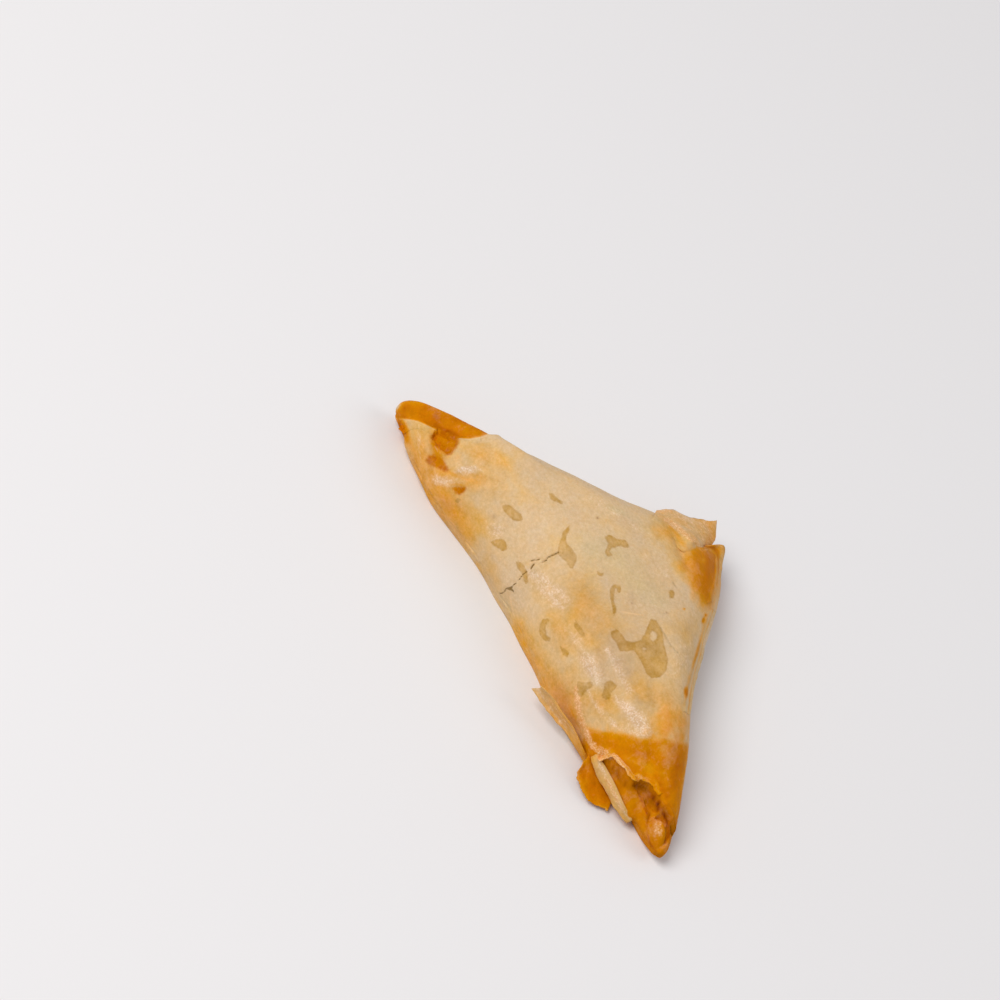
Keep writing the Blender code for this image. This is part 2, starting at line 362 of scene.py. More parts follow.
def hex_grid(spacing):
    rows = []
    for j in range(int(75.0 / spacing / 0.866)):
        y = -10.0 + j * spacing * 0.8660254
        x = np.arange(-HALF - 4, HALF + 4, spacing) + (0.5 * spacing if j % 2 else 0.0)
        rows.append(np.stack([x, np.full_like(x, y)], 1))
    return np.concatenate(rows)


def fill(loop, inner):
    points = [Vector((float(a), float(b))) for a, b in np.concatenate([loop, inner])]
    found = delaunay_2d_cdt(points, [], [list(range(len(loop)))], 1, 1e-6)
    return np.array([tuple(face) for face in found[2]], int)


def make_mesh(name, points, faces, attributes, smooth=True):
    mesh = bpy.data.meshes.new(name)
    world = to_world(points).astype(np.float32)
    faces = np.asarray(faces, np.int32)
    mesh.vertices.add(len(world))
    mesh.vertices.foreach_set("co", world.ravel())
    mesh.loops.add(faces.size)
    mesh.loops.foreach_set("vertex_index", faces.ravel())
    mesh.polygons.add(len(faces))
    mesh.polygons.foreach_set("loop_start", np.arange(0, faces.size, 3, dtype=np.int32))
    mesh.update(calc_edges=True)
    mesh.validate()
    if smooth:
        mesh.shade_smooth()
    for key, values in attributes.items():
        layer = mesh.attributes.new(key, "FLOAT", "POINT")
        layer.data.foreach_set("value", np.asarray(values, np.float32))
    obj = bpy.data.objects.new(name, mesh)
    bpy.context.scene.collection.objects.link(obj)
    return obj


def point_normals(points, faces):
    p = points[faces]
    n = np.cross(p[:, 1] - p[:, 0], p[:, 2] - p[:, 0])
    total = np.zeros_like(points)
    for k in range(3):
        np.add.at(total, faces[:, k], n)
    return total / np.maximum(np.linalg.norm(total, axis=1, keepdims=True), 1e-12)


AROUND = 1000
angles = even_angles(AROUND)
run_mm = np.arange(AROUND) * 0.258  # distance along the outline

# the wall below the widest line: edges of the folded layers
rings = []
for k in range(15):
    z = WIDEST * k / 15.0
    share = z / WIDEST
    belly = base_inset(angles) * (1.0 - share) ** 1.6
    wave = 0.5 * noise3(run_mm, 0, 0, 9.0, 3) + 0.25 * noise3(run_mm, 0, 0, 3.0, 4)
    layer = np.abs(np.sin(np.pi * (z * 1.15 + wave))) ** 0.6
    cut = 0.24 * (1.0 - layer) * min(1.0, 3.0 * share)
    peel = 0.18 * noise3(run_mm, z * 3.0, 0, 2.6, 6) * min(1.0, 3.0 * share)
    x, y = ring_plan(angles, np.maximum(belly + cut + peel, 0.0) if k else base_inset(angles))
    rings.append(np.stack([x, y, np.full_like(x, z)], 1))
for inset in (0.0, 0.004, 0.015, 0.035, 0.07, 0.12, 0.19, 0.28, 0.4, 0.54, 0.7, 0.88, 1.08, 1.3, 1.55, 1.8):
    x, y = ring_plan(angles, inset)
    z = height(x, y) if inset else np.full_like(x, WIDEST)
    rings.append(np.stack([x, y, z], 1))

coarse = hex_grid(0.42)
fine = hex_grid(0.21)


def in_fine_zone(x, y):
    zone = near(x, y, -42, 3, 13) + near(x, y, 43, 1, 15) + near(x, y, 1, 44, 7) > 0.5
    for line in CRACK:
        zone |= line_distance(x, y, line) < 0.9
    return zone


edge = polar(coarse[:, 0], coarse[:, 1])[1]
coarse = coarse[(edge > 2.1) & ~in_fine_zone(coarse[:, 0], coarse[:, 1])]
edge = polar(fine[:, 0], fine[:, 1])[1]
fine = fine[(edge > 1.95) & in_fine_zone(fine[:, 0], fine[:, 1])]
inner = np.concatenate([coarse, fine])
under = hex_grid(1.2)
under_angle, under_inset = polar(under[:, 0], under[:, 1])
under = under[under_inset > base_inset(under_angle) + 0.6]

points = np.concatenate(rings + [np.column_stack([inner, height(inner[:, 0], inner[:, 1])])])
bottom_start = len(points)
points = np.concatenate([points, np.column_stack([under, np.zeros(len(under))])])
faces = []
index = np.arange(AROUND)
for k in range(len(rings) - 1):
    a, b = k * AROUND + index, k * AROUND + (index + 1) % AROUND
    faces += [np.stack([a, b, b + AROUND], 1), np.stack([a, b + AROUND, a + AROUND], 1)]
last = (len(rings) - 1) * AROUND
faces.append(fill(rings[-1][:, :2], inner) + last)
below = fill(rings[0][:, :2], under)[:, ::-1]
below = np.where(below < AROUND, below, below - AROUND + bottom_start)
faces.append(below)
faces = np.concatenate(faces)

# shallow fold seams on the base, which stay above the resting plane
bx, by = points[bottom_start:, 0], points[bottom_start:, 1]
seam = np.minimum(np.abs(by - 0.62 * (bx + 20.0)), np.abs(by + 0.9 * (bx - 30.0)))
points[bottom_start:, 2] = 0.35 * bell(seam, 0, 0.9) + 0.08 * (1 + noise3(bx, by, 0, 4.0, 8))

# fine crumpling of the top sheet, along the surface's own normal
normals = point_normals(points, faces)
px, py, pz = points.T
upper = np.clip((pz - 3.8) / 2.0, 0.0, 1.0)
left_slope = step(-(py - 6.0), 6.0) * upper
crumple = 0.10 * fbm(px, py, pz, 5.0, 3, 21)
crumple += left_slope * 0.12 * np.abs(noise3(px * 0.5 + py * 0.8, py * 1.2 - px * 0.35, pz, 2.1, 31))
crumple += 0.16 * near(px, py, 20, 6, 12) * upper * noise3(px * 1.0 - py * 0.7, (py + px) * 0.35, pz, 1.8, 33)
crumple += 0.12 * near(px, py, 44, 0, 9) * noise3(px, py, pz, 0.9, 35)
crumple += 0.10 * near(px, py, -40, 2, 9) * noise3(px, py, pz, 1.1, 36)
points += normals * (crumple * upper)[:, None]


# ----------------------------------------------------------------------------- where each look goes
def spots(u, v, *items):
    """Sum of soft oval spots: place, half length, half width, turn of the length in degrees, amount."""
    total = np.zeros(np.shape(u))
    for u0, v0, length, width, turn, amount in items:
        c, s = math.cos(math.radians(turn)), math.sin(math.radians(turn))
        a, b = (u - u0) * c + (v - v0) * s, (v - v0) * c - (u - u0) * s
        total = total + amount * np.exp(-((a / length) ** 2) - (b / width) ** 2)
    return total


def zone(u, v, loop, soft):
    """1 well inside the outline, 0 well outside it."""
    return step(-area_distance(u, v, loop), soft)


def stroke(u, v, line, width):
    return bell(line_distance(u, v, line), 0, width)


def strokes(u, v, lines):
    best = np.full(np.shape(u), 99.0)
    for line in lines:
        best = np.minimum(best, line_distance(u, v, line))
    return best


def islands(u, v, loops):
    best = np.full(np.shape(u), 30.0)
    for loop in loops:
        cu, cv = np.mean(loop, axis=0)
        reach = max(math.hypot(a - cu, b - cv) for a, b in loop) + 12.0
        close = np.hypot(u - cu, v - cv) < reach
        if close.any():
            best[close] = np.minimum(best[close], area_distance(u[close], v[close], loop))
    return best


# Streaks of painted glare highlight on the folds.
GLARE_UV = (  # amount, width, line
    (0.45, 4.0, [(532, 573), (545, 579), (560, 592), (569, 602)]),
    (0.35, 3.0, [(540, 588), (552, 597), (562, 608)]),
    (0.34, 5.0, [(567, 631), (578, 642), (589, 656), (598, 673), (601, 684)]),
    (0.28, 3.0, [(580, 660), (590, 672), (597, 682)]),
    (0.60, 5.0, [(607, 648), (614, 660), (622, 675), (630, 690)]),
    (0.60, 5.0, [(617, 698), (627, 708), (640, 722), (648, 732)]),
    (0.65, 3.6, [(589, 690), (596, 704), (606, 715), (617, 727)]),
    (0.40, 3.0, [(622, 730), (634, 733), (648, 736)]),
    (0.35, 2.5, [(452, 474), (462, 468), (476, 466)]),
)
RIM_HIGHLIGHT_UV = [(716, 616), (710, 628), (705, 642), (700.5, 658), (696, 672), (692, 686), (689, 702), (687.5, 722)]
KNOB_RIM_UV = [(650, 813), (647, 822), (647, 832), (650, 843), (656, 851)]
TONGUE_UV = [(631, 785), (638, 789), (644, 798), (650, 812)]
TONGUE_SHADE_UV = [(634, 790), (640, 796), (644, 806), (647, 814)]
VALLEY_B_SHADE_UV = [(664, 517), (672, 527), (680, 540), (687, 550)]
FLAP_RIDGE_UV = [(667, 520), (676, 526.5), (684, 533), (692, 541)]
FLAP_VALLEY_SHADE_UV = [(670, 527), (678, 536), (684, 545), (690, 549)]
BAND_EDGE_UV = [(396, 407), (403, 402.5), (418, 401.5), (431, 403.5), (445, 410), (462, 418.5), (478, 427), (487, 432.5)]
BROWN_C_UV = [(582, 742), (586, 728), (600, 731), (622, 735), (642, 738), (654, 738), (664, 736), (676, 740), (694, 744), (696, 765), (690, 870), (640, 870), (600, 800), (585, 760)]
AMBER_C_UV = [(584, 722), (600, 728), (640, 736), (652, 726), (658, 708), (668, 700), (680, 706), (694, 720), (696, 870), (600, 870), (580, 750)]
BROWN_B_UV = [(690, 550), (698, 546), (708, 546), (723, 549), (720, 575), (717, 590), (713, 606), (706, 606), (698, 597), (691, 582), (688, 566)]
AMBER_B_UV = [(684, 548), (692, 543), (728, 546), (726, 575), (720, 594), (714, 614), (704, 612), (692, 598), (684, 582), (680, 565)]
# butter-soaked islands, where the sheet turned clear
BUTTER_UV = (
    [(569, 526), (563, 532), (561, 540), (558.5, 546), (558, 554), (562, 558), (567, 562), (570, 568), (573, 568), (576, 561), (577, 556), (572, 549), (566, 543), (566, 537), (569, 530)],
    [(605, 537), (609, 535), (613, 536.5), (617, 539.5), (624, 540), (628, 543), (628.5, 547.5), (625, 547.5), (620, 545.5), (616, 547), (611, 548), (609, 551), (612, 555), (609, 556.5), (605, 553.5), (606.5, 549), (608.5, 544)],
    [(610.5, 589), (612, 586), (616, 584.5), (620.5, 586.5), (621, 591), (619, 593), (617.5, 592), (617.5, 588.5), (615, 588.5), (614, 594), (613.5, 601), (616, 607), (616, 611), (614, 615.5), (613, 611), (611.5, 603), (610, 596)],
    [(491, 542), (496, 539.5), (503, 539), (506, 543), (507, 549), (503, 551.5), (499, 548.5), (494, 546)],
    [(502, 506), (506, 504.5), (511, 506), (515, 510), (521, 514.5), (523, 520), (519, 521), (513, 520), (508, 515), (504, 511)],
    [(516, 562), (520, 562), (524, 566), (527, 572), (528, 581), (526, 584.5), (524, 580), (522, 573), (518, 569)],
    [(548, 618.5), (542, 620), (539.5, 627), (540, 635), (544, 640), (549, 642), (550.5, 638.5), (546.5, 635), (545, 629), (546, 624), (549, 621)],
    [(575, 620), (578, 624), (582, 629), (585, 635), (584, 638), (580, 634.5), (577, 630), (574, 626)],
    [(597, 571), (600, 573.5), (604, 573), (602, 576.2), (598.5, 575.5)],
    [(549, 493.5), (553, 493.5), (555.5, 497), (559, 500), (563.5, 502), (562, 504), (556, 501.5), (550.5, 499)],
    [(669, 591), (672, 590), (674.5, 592), (673.5, 598), (669.5, 598)],
    [(611, 632), (617, 629.5), (622, 635), (626, 641), (634, 642.5), (641, 640), (645, 634), (648, 626), (651, 619), (656, 620), (662, 631), (664, 645), (668, 660), (666, 671), (660, 677), (652, 678), (647, 674), (643, 665), (639, 657), (634, 650), (627, 651), (620, 651), (617, 643), (612, 638)],
    [(577, 681), (584, 683), (592, 682), (593, 686), (589, 689), (585, 691), (582, 697), (578, 694)],
    [(605, 683), (611, 680), (617, 686), (614, 690), (610, 692), (611, 697), (606, 700), (602, 696), (604, 690)],
    [(560, 646), (565, 649), (569, 653), (567, 657), (563, 654)],
    [(455, 501), (458, 498), (461, 500), (458, 503)],
)
BUTTER_GAPS_UV = ([(650, 633), (653, 630.5), (657, 633), (657, 639), (653, 642), (649.5, 638)], [(642, 649), (644, 646.5), (646.5, 649), (644, 652)])


def paint(points):
    """The look of each point of the surface, from where it is seen."""
    u, v = seen(points)
    x, y, z = points.T
    cloud, patch = fbm(x, y, z, 6.0, 3, 51), fbm(x, y, z, 2.4, 3, 57)
    uj, vj = u + 2.5 * cloud + 1.2 * patch, v + 2.5 * fbm(x, y, z, 5.0, 3, 53)
    low = np.clip((3.6 - z) / 3.0, 0.0, 1.0)

    gold = spots(
        uj, vj,
        (448, 508, 36, 17, 60, 0.85), (470, 548, 24, 8, 60, 0.34), (425, 470, 26, 11, 65, 0.60), (475, 450, 34, 13, 25, 0.34), (468, 480, 28, 13, 15, 0.50), (480, 520, 26, 12, 50, 0.30),
        (420, 440, 34, 26, 70, 0.42), (505, 475, 60, 28, 27, 0.26), (530, 655, 34, 17, 62, 0.46), (548, 688, 30, 19, 58, 0.42), (572, 720, 34, 15, 60, 0.56),
        (585, 602, 40, 22, 72, 0.50), (560, 625, 26, 14, 70, 0.32), (640, 735, 40, 22, 5, 0.28), (671, 715, 34, 17, 96, 0.46), (690, 640, 44, 9, 103, 0.30),
        (683, 560, 34, 11, 62, 0.50), (664, 528, 20, 12, 30, 0.50), (645, 548, 16, 16, 0, 0.14), (486, 560, 30, 9, 60, 0.36), (500, 590, 16, 8, 60, 0.2), (476, 553, 13, 10, 60, -0.42),
        (676, 628, 14, 11, 0, 0.34), (640, 668, 10, 30, 0, 0.2), (645, 692, 24, 14, 0, 0.18), (552, 545, 22, 12, 30, 0.14), (520, 620, 20, 8, 62, 0.3),
        (545, 585, 22, 16, 30, 0.22), (605, 704, 18, 13, 60, 0.28), (612, 622, 16, 13, 30, 0.26), (655, 698, 17, 15, 20, 0.24), (562, 642, 18, 12, 60, 0.24), (588, 706, 16, 9, 60, 0.16), (590, 640, 16, 14, 0, 0.25), (600, 700, 26, 16, 30, 0.30), (575, 680, 14, 20, 0, 0.3), (510, 500, 26, 9, 30, 0.10),
    )
    # Painted highlights: glare and sheen on the glossy folds, as soft spots and the streaks below.
    painted_sheen = spots(
        uj, vj,
        (500, 531, 13, 6.5, 0, 0.72), (470, 470, 13, 5.5, 8, 0.75), (444, 481, 15, 6, 10, 0.80), (548, 590, 20, 10, 42, 0.38), (558, 606, 22, 6, 28, 0.28),
        (588, 664, 17, 9, 52, 0.45), (637, 719, 19, 11, 48, 0.75), (602, 505, 22, 8, 24, 0.42), (635, 527, 22, 6, 26, 0.30), (683, 660, 22, 7, 112, 0.42),
        (697, 613, 13, 4, 20, 0.42), (646, 607, 14, 5, 10, 0.30), (528, 570, 9, 4, 40, 0.30), (655, 565, 22, 12, 20, 0.20), (668, 640, 10, 5, 60, 0.30), (419, 440, 18, 3.0, 90, 0.55),
        (560, 515, 26, 8, 26, 0.20), (452, 525, 10, 5, 60, 0.15), (480, 512, 16, 6, 40, 0.18),
    )
    for amount, width, line in GLARE_UV:
        painted_sheen = painted_sheen + amount * stroke(uj, vj, line, width)
    green = spots(
        uj, vj,
        (503, 608, 24, 9, 62, 0.9), (516, 556, 20, 10, 20, 0.30), (545, 530, 22, 12, 20, 0.2), (588, 585, 26, 14, 80, 0.55), (592, 545, 30, 16, 10, 0.5), (627, 565, 30, 18, 30, 0.5),
        (645, 592, 24, 14, 20, 0.5), (645, 527, 20, 8, 25, 0.4), (617, 510, 13, 4.5, 22, 0.7), (606, 698, 17, 7, 80, 0.8), (628, 658, 14, 9, 40, 0.4), (664, 602, 16, 12, 0, 0.3),
        (486, 582, 14, 5, 65, 0.7), (560, 560, 20, 8, 20, 0.2),
    )
    fleck = fbm(x, y, z, 1.1, 2, 59)
    brown_c, amber_c = zone(uj, vj, BROWN_C_UV, 10.0), zone(uj, vj, AMBER_C_UV, 22.0)
    brown_b, amber_b = zone(uj, vj, BROWN_B_UV, 14.0), zone(uj, vj, AMBER_B_UV, 16.0)
    bare, front = area_distance(u, v, BARE_UV) / 5.0, area_distance(u, v, FRONT_UV) / 5.0
    wall = area_distance(x, y, FRONT)
    over_c = brown_c * (0.47 + 0.13 * patch + 0.07 * fleck + spots(
        uj, vj, (601, 734, 14, 6, 20, 0.06), (652, 774, 14, 10, 40, -0.12), (628, 750, 20, 4, 30, -0.06), (616, 739, 26, 6, 12, -0.04), (675, 775, 34, 5, 99, 0.16), (686, 775, 44, 2.8, 97, -0.28), (655, 768, 26, 14, 60, 0.05), (640, 762, 9, 5, 0, -0.08),
        (648, 790, 12, 6, 30, 0.04), (622, 757, 26, 2.6, 22, -0.14), (662, 752, 6, 9, 0, -0.10), (631, 750, 16, 3, 10, 0.08), (664, 790, 10, 5, 60, 0.06), (592, 739, 9, 6, 60, 0.07),
    ))
    over_b = brown_b * (0.48 + 0.06 * patch + 0.05 * fleck + spots(uj, vj, (709, 568, 20, 6, 97, 0.13), (715.5, 562, 13, 1.8, 99, 0.28), (704, 588, 14, 8, 80, 0.05), (702, 561, 3.0, 2.5, 0, -0.22), (722, 572, 40, 2.2, 98, -0.40)))
    band = step(-bare, 0.35) * (0.57 + 0.14 * patch + 0.08 * fleck + spots(
        uj, vj, (396, 410, 6, 9, 0, -0.26), (438, 411, 3, 8, 10, 0.12), (430, 417, 22, 5, 22, 0.06), (447, 431, 16, 2.6, 22, 0.20), (474, 434, 9, 4, 0, -0.06), (404, 409, 1.6, 7, 10, 0.10), (452, 418, 14, 3, 28, 0.07),
    ) - 0.26 * stroke(u, v, BAND_EDGE_UV, 3.0) * step(452 - u, 14))
    # The browned inner layers inside the torn edge. The dark strokes in the gap beside the wrap and along the tongue's
    # side are painted shade.
    inner_c = step(-front, 0.35) * (0.48 + 0.08 * patch + 0.07 * fleck + spots(
        uj, vj, (634, 815, 13, 8, 55, -0.22), (646, 826, 6, 5, 60, -0.10), (653, 800, 7, 2.4, 55, 0.26), (660, 805, 5, 1.8, 50, 0.24), (618, 775, 22, 3, 55, 0.16), (626, 790, 16, 5, 55, -0.06),
    ) + 0.22 * stroke(u, v, KNOB_RIM_UV, 1.3) + 0.40 * stroke(u, v, WRAP_GAP_UV, 1.4) + 0.35 * stroke(u, v, TONGUE_SHADE_UV, 1.4) - 0.26 * stroke(u, v, TONGUE_UV, 2.2) + 0.34 * stroke(u, v, [(649, 795), (655, 800), (660, 806), (657, 811)], 2.0))
    brown = np.maximum.reduce([
        over_c, over_b, band, inner_c, amber_b * (0.31 + 0.08 * patch), amber_c * (0.27 + 0.09 * patch + 0.07 * fleck),
        spots(uj, vj, (436, 450, 20, 6.5, 78, 0.40), (450, 452, 10, 5, 110, 0.20), (457, 485, 12, 2.6, 10, 0.24), (478, 476, 14, 3.0, 14, 0.24), (445, 432, 10, 3, 20, 0.3)),
        spots(uj, vj, (450, 510, 30, 13, 62, 0.26), (445, 500, 12, 7, 60, 0.06), (405, 433, 12, 4.6, 70, 0.56), (399, 424, 8, 3.5, 78, 0.5), (416, 458, 16, 2.5, 68, 0.20), (573, 734, 26, 6, 60, 0.13), (545, 690, 20, 9, 58, 0.01), (425, 468, 22, 5, 68, 0.20)),
        spots(uj, vj, (474, 481, 14, 4.5, 12, 0.22), (455, 475, 12, 3.0, 25, 0.20), (462, 545, 20, 3, 60, 0.12), (432, 446, 6, 10, 0, 0.22), (457, 457, 10, 6, 120, 0.14), (438, 468, 16, 6, 50, 0.24), (405, 455, 14, 5, 68, 0.20)),
        0.20 * stroke(u, v, SHEET_EDGE_UV, 2.8) + spots(u, v, (703, 620, 3.5, 1.6, 105, 0.40), (705.5, 615, 1.3, 1.3, 0, 0.45), (686, 692, 5, 2.2, 80, 0.40), (697, 652, 12, 1.8, 105, 0.16), (684, 609, 1.6, 1.1, 0, 0.45)),
        # Painted shade in the valley beside corner B's ridge; the second stroke darkens a groove on the lower left
        # slope.
        0.22 * stroke(u, v, VALLEY_B_SHADE_UV, 4.0), 0.25 * stroke(uj, vj, [(570, 704), (577, 720), (586, 738), (594, 750)], 2.4),
    ])
    dots = spots(u, v, (494, 516, 1.0, 1.0, 0, 0.9), (597.7, 518, 1.1, 1.1, 0, 0.7), (592, 511, 0.8, 0.8, 0, 0.4), (667, 613, 1.2, 0.9, 0, 0.6), (664, 614, 0.9, 0.7, 0, 0.4), (632, 603, 1.0, 1.0, 0, 0.35))

    butter = islands(u, v, BUTTER_UV)
    for hole in BUTTER_GAPS_UV:
        butter = np.maximum(butter, -area_distance(u, v, hole))
    dark = np.minimum(islands(u, v, (GAP_UV, STAIN_UV, PIT_UV)) - 0.6, islands(u, v, (RED_UV,))) / 5.0
    crack = np.minimum(strokes(u, v, CRACK_UV), np.maximum(area_distance(u, v, HOLE_UV) + 0.5, 0.0)) / 5.0
    # Painted highlight lines: along the raised folds listed above and along the hem's edge.
    line_highlight = np.minimum(strokes(u, v, HIGHLIGHT_LINES_UV) / 5.0 + 0.1, np.abs(bare - 0.22) + 0.2)
    # Painted highlights along the raised ridges and torn rims near corner C, on the knob, on the tongue and on the
    # folds of the lower left slope.
    ridge_highlight = (stroke(uj, vj, RIDGE_C_UV, 3.2) + 0.5 * stroke(uj, vj, [(636, 778), (645, 781), (653, 790)], 1.6) + spots(uj, vj, (607, 755, 12, 4, 35, 0.4))) * step(front - 0.36, 0.3)
    ridge_highlight = ridge_highlight + spots(uj, vj, (658, 828, 10, 5.5, 85, 0.80), (633, 812, 9, 4, 55, 0.22)) + 0.35 * stroke(u, v, [(651, 847), (657, 849), (663, 846)], 1.3) + 0.30 * stroke(u, v, [(632, 786), (638, 789.5), (643, 797), (648, 808)], 1.1)
    ridge_highlight = ridge_highlight + 0.38 * stroke(uj, vj, [(563, 706), (571, 722), (579, 738), (586, 752)], 1.8)
    ridge_highlight = ridge_highlight * np.maximum(np.maximum(step(wall - 0.25, 0.25), step(-wall - 0.9, 0.3)), step(33.0 - x, 1.4))
    # Painted highlight along the rim of the outer sheet on the side C to B.
    painted_sheen = painted_sheen + 0.45 * stroke(u, v, RIM_HIGHLIGHT_UV, 2.2)
    # Painted shade: under the hem and round the gap at corner A, over the faces turned from the light, along the sheet
    # edge and round the knob at corner C. Random tone from the noise is added, and the dark specks are taken off at the
    # end.
    painted_shade_and_specks = spots(
        u, v, (626, 662, 62, 30, 68, -0.21), (585, 597, 32, 19, 76, -0.15), (590, 665, 14, 12, 60, -0.06), (492, 575, 20, 7, 62, -0.10), (449, 433.5, 15, 2.0, 20, -0.30), (431, 440, 11, 2.2, 82, -0.26), (662, 600, 50, 40, 90, -0.05), (428, 463, 8, 1.6, 60, -0.2),
        (640, 784, 10, 2.4, 20, -0.22), (655, 798, 10, 3, 50, -0.26), (648, 818, 8, 1.6, 105, -0.35), (657, 855, 6, 3, 0, -0.35), (632, 600, 3, 14, 0, -0.10),
    ) + 0.07 * cloud + 0.05 * patch - 0.20 * stroke(u, v, [(a + 1.2, b) for a, b in SHEET_EDGE_UV], 1.0)
    # Painted shadow under the torn rim of the top sheet.
    painted_shade_and_specks = painted_shade_and_specks - 0.32 * stroke(u, v, [(a - 1.0, b + 5.0) for a, b in TORN_UV[3:17]], 3.0) * step(-front - 0.2, 0.3)
    # Painted shade in the valleys between the swells.
    for line in ([(598, 650), (603, 676), (606, 702)], [(572, 642), (584, 658), (592, 676)], [(626, 668), (634, 684), (640, 700)]):
        painted_shade_and_specks = painted_shade_and_specks - 0.11 * stroke(uj, vj, line, 2.6)
    # Painted shade on the step down at the torn edge.
    painted_shade_and_specks = painted_shade_and_specks - 0.16 * bell(wall, -0.15, 0.35) * step(x - 33.0, 3.0)
    lifted = np.where(z < 3.2, 5.0, 0.0)
    return {
        "brown": np.clip(brown, 0.0, 1.0), "gold": np.clip(gold + 0.10 * cloud + 0.10 * patch + 0.05 * fleck + 0.12 * low, 0.0, 1.0),
        "painted_sheen": np.clip(painted_sheen + 0.12 * patch, 0.0, 1.0) * (1.0 - low), "green": np.clip(green + 0.12 * cloud, 0.0, 1.0) * (1.0 - low),
        "butter": butter / 5.0 + lifted, "dark": dark + lifted, "crack": crack + lifted, "crease_shadow": strokes(u, v, GREY_UV) / 5.0 + lifted,
        "highlight_line": line_highlight + lifted, "ridge_highlight": np.clip(ridge_highlight, 0.0, 1.0) * (1.0 - low), "painted_shade_and_specks": painted_shade_and_specks - dots,
    }


crust = make_mesh("pastry_crust", points, faces, paint(points))
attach(crust, "root")
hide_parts("pastry")


# ----------------------------------------------------------------------------- loose sheets
def smooth_line(points, count):
    """A Catmull-Rom curve through the points, evenly spaced."""
    p = np.asarray(points, float)
    p = np.concatenate([[2 * p[0] - p[1]], p, [2 * p[-1] - p[-2]]])
    out = []
    for k in range(1, len(p) - 2):
        t = np.linspace(0, 1, 24, endpoint=False)[:, None]
        a, b, c, d = p[k - 1], p[k], p[k + 1], p[k + 2]
        out.append(0.5 * (2 * b + (c - a) * t + (2 * a - 5 * b + 4 * c - d) * t**2 + (3 * b - a - 3 * c + d) * t**3))
    out = np.concatenate(out + [p[-2:-1]])
    run = np.concatenate([[0.0], np.cumsum(np.linalg.norm(np.diff(out, axis=0), axis=1))])
    want = np.linspace(0, run[-1], count)
    return np.stack([np.interp(want, run, out[:, k]) for k in range(3)], 1)


def placed(*points):
    return [at_height(u, v, z) for u, v, z in points]


def on_crust(*points):
    """Points of the crust seen at these picture positions, lifted off it by the third number."""
    out = []
    levels = np.arange(23.0, 0.0, -0.04)
    for u, v, lift in points:
        ray = np.array([at_height(u, v, z) for z in levels])
        under = (height(ray[:, 0], ray[:, 1]) >= levels) & (polar(ray[:, 0], ray[:, 1])[1] > 0.02)
        hit = int(np.argmax(under)) if under.any() else int(np.argmin(np.abs(height(ray[:, 0], ray[:, 1]) - levels)))
        out.append((ray[hit, 0], ray[hit, 1], ray[hit, 2] + lift))
    return out


def clear(*points, gap=0.35):
    """Like placed(), but raised where the crust would cover the point."""
    out = []
    levels = np.arange(23.0, 0.0, -0.04)
    for u, v, z in points:
        ray = np.array([at_height(u, v, level) for level in levels])
        under = (height(ray[:, 0], ray[:, 1]) >= levels) & (polar(ray[:, 0], ray[:, 1])[1] > 0.02)
        out.append(at_height(u, v, max(z, float(levels[np.argmax(under)]) + gap) if under.any() else z))
    return out


def sheet(name, rows, thick=0.18, across=18, count=70, crumple=0.12, ragged=0.25, seed=1, looks=None, root=0.0):
    """A thin leaf of filo lofted through rows of points. The last row is its free, ragged edge."""
    lines = np.stack([smooth_line(r, count) for r in rows], 0)
    t = np.linspace(0, 1, across)
    grid = np.stack([smooth_line(lines[:, j], across) for j in range(count)], 1)  # across x count x 3
    s = np.linspace(0, 1, count)
    out = grid[-1] - grid[-2]
    out = out / np.maximum(np.linalg.norm(out, axis=1, keepdims=True), 1e-9)
    jag = ragged * (noise3(s * 40, 0, 0, 2.2, seed) + 0.6 * noise3(s * 40, 0, 0, 0.8, seed + 1))
    grid = grid + (t[:, None, None] ** 3) * (out * jag[:, None])[None]
    flat = grid.reshape(-1, 3)
    cells = []
    for i in range(across - 1):
        for j in range(count - 1):
            a = i * count + j
            cells += [(a, a + 1, a + count + 1), (a, a + count + 1, a + count)]
    cells = np.array(cells)
    n = point_normals(flat, cells)
    fx, fy, fz = flat.T
    free = np.repeat(np.clip(t * 2.0, 0, 1), count)
    flat = flat + n * (crumple * free * (noise3(fx, fy, fz, 1.6, seed + 2) + 0.5 * noise3(fx, fy, fz, 0.7, seed + 3)))[:, None]
    size = across * count
    both = np.concatenate([flat + n * thick / 2, flat - n * thick / 2])
    both[:, 2] = np.maximum(both[:, 2], 0.05)
    rim = [j for j in range(count)] + [i * count + count - 1 for i in range(1, across)]
    rim += [(across - 1) * count + j for j in range(count - 2, -1, -1)] + [i * count for i in range(across - 2, 0, -1)]
    cells = [cells, cells[:, ::-1] + size]
    for a, b in zip(rim, rim[1:] + rim[:1]):
        cells.append(np.array([(b, a, a + size), (b, a + size, b + size)]))
    cells = np.concatenate(cells)
    tt = np.tile(np.repeat(t, count), 2)
    ss = np.tile(np.tile(s, across), 2)
    data = paint(both)
    if looks:
        plain = {"brown": 0.0, "gold": 0.4, "painted_sheen": 0.0, "green": 0.0, "butter": 5.0, "dark": 5.0, "crack": 5.0, "crease_shadow": 5.0, "highlight_line": 5.0, "ridge_highlight": 0.0, "painted_shade_and_specks": 0.0}
        own = step(tt - root, 0.16) if root else 1.0  # near its root a leaf keeps the crust's look
        data = {k: (1.0 - own) * data[k] + own * v for k, v in {**plain, **looks(tt, ss, both)}.items()}
    data = {k: np.broadcast_to(np.asarray(v, float), (2 * size,)) for k, v in data.items()}
    obj = make_mesh(name, both, cells, data)
    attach(obj, "root")
    return obj
